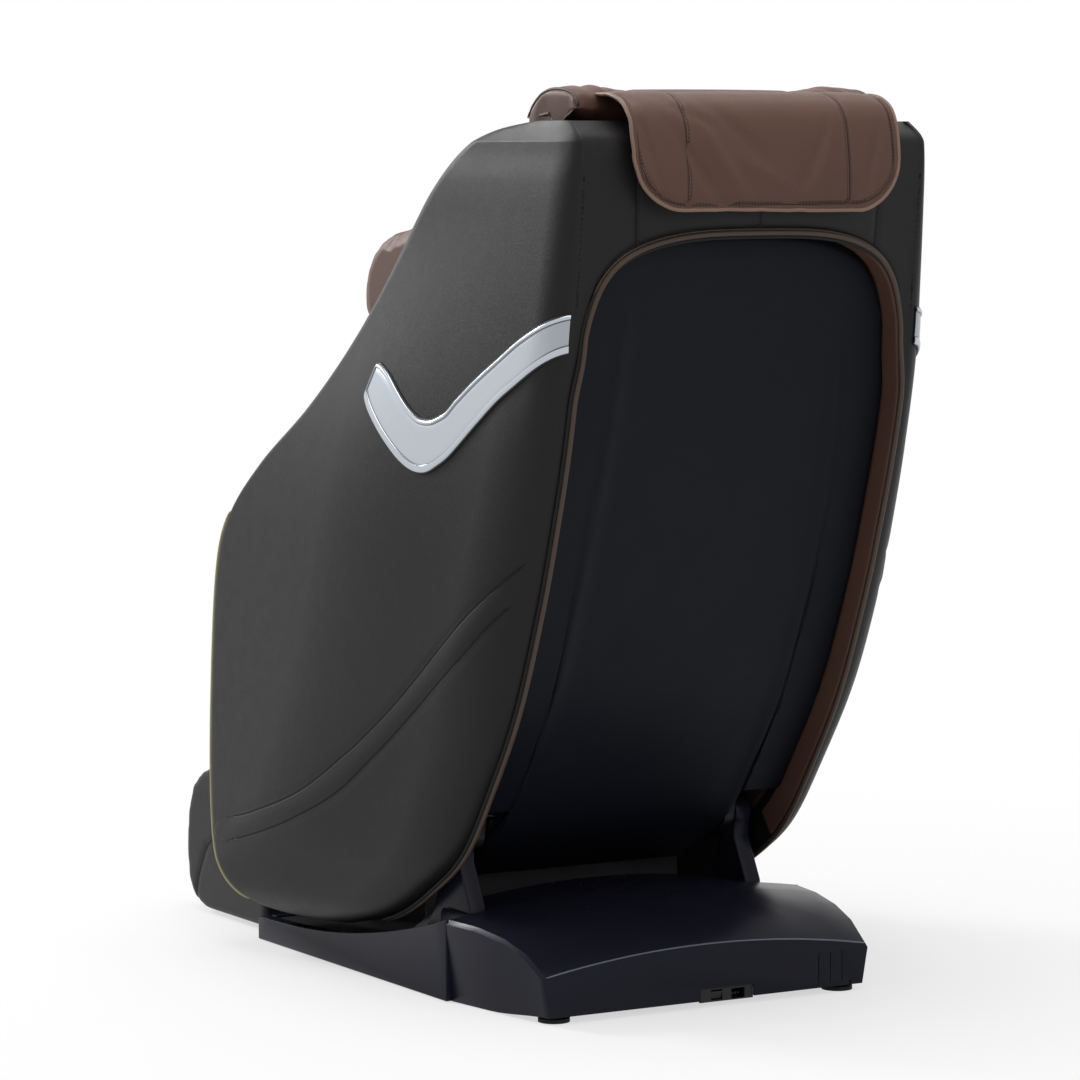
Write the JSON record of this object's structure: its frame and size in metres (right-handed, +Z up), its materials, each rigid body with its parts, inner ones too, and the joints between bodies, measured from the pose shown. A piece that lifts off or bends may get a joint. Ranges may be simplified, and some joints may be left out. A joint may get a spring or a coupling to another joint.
{
  "type": "massage chair",
  "caption": "Massage chair with a one-piece leather body that reclines on two upright brackets of a low base, with a swinging leg rest and a carriage of massage rollers in the back.",
  "frame": {"origin": "centre of the bounding box at the floor", "axes": "+X the sitter's left, +Y to the rear of the chair, +Z up"},
  "size_m": [0.686, 1.141, 1.148],
  "materials": {
    "black_leather": "satin",
    "brown_leather": "satin",
    "grey_piping": "satin",
    "welt_leather": "satin",
    "cover_panel": "satin",
    "silver_trim": "gloss",
    "base_plastic": "satin gloss",
    "black_plastic": "matte",
    "button_plastic": "gloss",
    "rubber": "matte",
    "frame_steel": "satin",
    "bright_steel": "satin",
    "dark_steel": "satin",
    "grey_plastic": "matte",
    "roller_plastic": "satin",
    "arm_alloy": "satin",
    "board": "matte"
  },
  "bodies": {
    "base": {"base_frame": "frame_steel", "base_feet": "rubber", "base_rear_cover": "base_plastic", "base_side_cover_left": "base_plastic", "base_side_cover_right": "base_plastic", "base_front_cover": "base_plastic", "power_inlet": "black_plastic", "pivot_bracket_left": "base_plastic", "pivot_bracket_right": "base_plastic"},
    "body": {"seat_frame": "frame_steel", "back_frame": "frame_steel", "guide_rails": "bright_steel", "side_shell_left": "black_leather", "side_shell_right": "black_leather", "side_board_left": "board", "side_board_right": "board", "rear_yoke": "black_leather", "rim_liner": "brown_leather", "rim_welt": "welt_leather", "front_welts": "grey_piping", "side_trim_left": "silver_trim", "side_trim_right": "silver_trim", "back_cover": "cover_panel", "seat_cushion": "brown_leather", "back_cushion": "brown_leather", "head_cushion": "brown_leather", "head_flap": "brown_leather", "shoulder_wing_left": "brown_leather", "shoulder_wing_right": "brown_leather", "arm_pad_left": "brown_leather", "arm_pad_right": "brown_leather", "control_panel": "black_plastic", "air_pump": "grey_plastic", "control_box": "grey_plastic"},
    "carriage": {"carriage": "frame_steel", "massage_motor": "grey_plastic"},
    "arm_left": {"massage_arm_left": "arm_alloy"},
    "arm_right": {"massage_arm_right": "arm_alloy"},
    "roller_upper_left": {"roller_upper_left": "roller_plastic"},
    "roller_upper_right": {"roller_upper_right": "roller_plastic"},
    "roller_lower_left": {"roller_lower_left": "roller_plastic"},
    "roller_lower_right": {"roller_lower_right": "roller_plastic"},
    "legrest": {"legrest_frame": "frame_steel", "calf_shell": "black_leather", "calf_pad": "brown_leather"},
    "foot": {"foot_shell": "black_leather", "foot_rods": "bright_steel", "foot_pad": "brown_leather"},
    "foot_rollers_left": {"foot_rollers_left": "rubber"},
    "foot_rollers_right": {"foot_rollers_right": "rubber"},
    "wheel_left": {"transport_wheel_left": "rubber"},
    "wheel_right": {"transport_wheel_right": "rubber"},
    "switch": {"power_switch": "black_plastic"},
    "button_power": {"button_power": "button_plastic"},
    "button_recline": {"button_recline": "button_plastic"},
    "button_raise": {"button_raise": "button_plastic"},
    "recline_tube": {"recline_drive_tube": "dark_steel"},
    "recline_rod": {"recline_drive_rod": "bright_steel"},
    "leg_tube": {"leg_drive_tube": "dark_steel"},
    "leg_rod": {"leg_drive_rod": "bright_steel"}
  },
  "joints": [
    {"name": "recline", "type": "hinge", "parent": "base", "child": "body", "pos_m": [0, 0.165, 0.2], "axis": [-1, 0, 0], "range_deg": [0, 30]},
    {"name": "legrest_lift", "type": "hinge", "parent": "body", "child": "legrest", "pos_m": [0, -0.275, 0.365], "axis": [-1, 0, 0], "range_deg": [0, 80]},
    {"name": "foot_extend", "type": "slide", "parent": "legrest", "child": "foot", "axis": [0, 0, -1], "range_m": [0, 0.12]},
    {"name": "carriage_travel", "type": "slide", "parent": "body", "child": "carriage", "axis": [0, 0.2588, 0.9659], "range_m": [0, 0.3]},
    {"name": "massage_arm_left", "type": "hinge", "parent": "carriage", "child": "arm_left", "pos_m": [0.046, 0.20486, 0.50883], "axis": [1, 0, 0], "range_deg": [-6, 6]},
    {"name": "massage_arm_right", "type": "hinge", "parent": "carriage", "child": "arm_right", "pos_m": [-0.046, 0.20486, 0.50883], "axis": [1, 0, 0], "range_deg": [-6, 6]},
    {"name": "roller_upper_left_spin", "type": "hinge", "parent": "arm_left", "child": "roller_upper_left", "pos_m": [0.066, 0.21615, 0.57413], "axis": [1, 0, 0], "continuous": true},
    {"name": "roller_lower_left_spin", "type": "hinge", "parent": "arm_left", "child": "roller_lower_left", "pos_m": [0.066, 0.18198, 0.44663], "axis": [1, 0, 0], "continuous": true},
    {"name": "foot_rollers_left_spin", "type": "hinge", "parent": "foot", "child": "foot_rollers_left", "pos_m": [0.1225, -0.44, 0.031], "axis": [1, 0, 0], "continuous": true},
    {"name": "transport_wheel_left_spin", "type": "hinge", "parent": "base", "child": "wheel_left", "pos_m": [0.176, 0.33, 0.025], "axis": [1, 0, 0], "continuous": true},
    {"name": "roller_upper_right_spin", "type": "hinge", "parent": "arm_right", "child": "roller_upper_right", "pos_m": [-0.066, 0.21615, 0.57413], "axis": [1, 0, 0], "continuous": true},
    {"name": "roller_lower_right_spin", "type": "hinge", "parent": "arm_right", "child": "roller_lower_right", "pos_m": [-0.066, 0.18198, 0.44663], "axis": [1, 0, 0], "continuous": true},
    {"name": "foot_rollers_right_spin", "type": "hinge", "parent": "foot", "child": "foot_rollers_right", "pos_m": [-0.1225, -0.44, 0.031], "axis": [1, 0, 0], "continuous": true},
    {"name": "transport_wheel_right_spin", "type": "hinge", "parent": "base", "child": "wheel_right", "pos_m": [-0.176, 0.33, 0.025], "axis": [1, 0, 0], "continuous": true},
    {"name": "power_switch_rock", "type": "hinge", "parent": "base", "child": "switch", "pos_m": [-0.013, 0.422, 0.015], "axis": [1, 0, 0], "range_deg": [0, 12]},
    {"name": "button_power_press", "type": "slide", "parent": "body", "child": "button_power", "axis": [-1, 0, 0], "range_m": [0, 0.0018], "stiffness_N_per_m": 400, "springref_m": -0.0005},
    {"name": "button_recline_press", "type": "slide", "parent": "body", "child": "button_recline", "axis": [-1, 0, 0], "range_m": [0, 0.0018], "stiffness_N_per_m": 400, "springref_m": -0.0005},
    {"name": "button_raise_press", "type": "slide", "parent": "body", "child": "button_raise", "axis": [-1, 0, 0], "range_m": [0, 0.0018], "stiffness_N_per_m": 400, "springref_m": -0.0005},
    {"name": "recline_drive_swing", "type": "hinge", "parent": "base", "child": "recline_tube", "pos_m": [-0.055, -0.02, 0.062], "axis": [-1, 0, 0], "range_deg": [0, 14.9]},
    {"name": "recline_drive_stroke", "type": "slide", "parent": "recline_tube", "child": "recline_rod", "axis": [0, -0.1124, 0.9937], "range_m": [0, 0.0956]},
    {"name": "leg_drive_swing", "type": "hinge", "parent": "body", "child": "leg_tube", "pos_m": [0.055, -0.04, 0.33], "axis": [-1, 0, 0], "range_deg": [0, 4.5]},
    {"name": "leg_drive_stroke", "type": "slide", "parent": "leg_tube", "child": "leg_rod", "axis": [0, -0.9995, 0.0329], "range_m": [0, 0.0265]}
  ],
  "couplings": [
    {"joint": "massage_arm_right", "follows": "massage_arm_left", "ratio": -1},
    {"joint": "foot_extend", "follows": "legrest_lift", "m_per_rad": 0.0859},
    {"joint": "recline_drive_swing", "follows": "recline", "ratio": 0.49195},
    {"joint": "recline_drive_stroke", "follows": "recline", "m_per_rad": 0.18223},
    {"joint": "leg_drive_swing", "follows": "legrest_lift", "ratio": 0.0548},
    {"joint": "leg_drive_stroke", "follows": "legrest_lift", "m_per_rad": 0.01888}
  ]
}
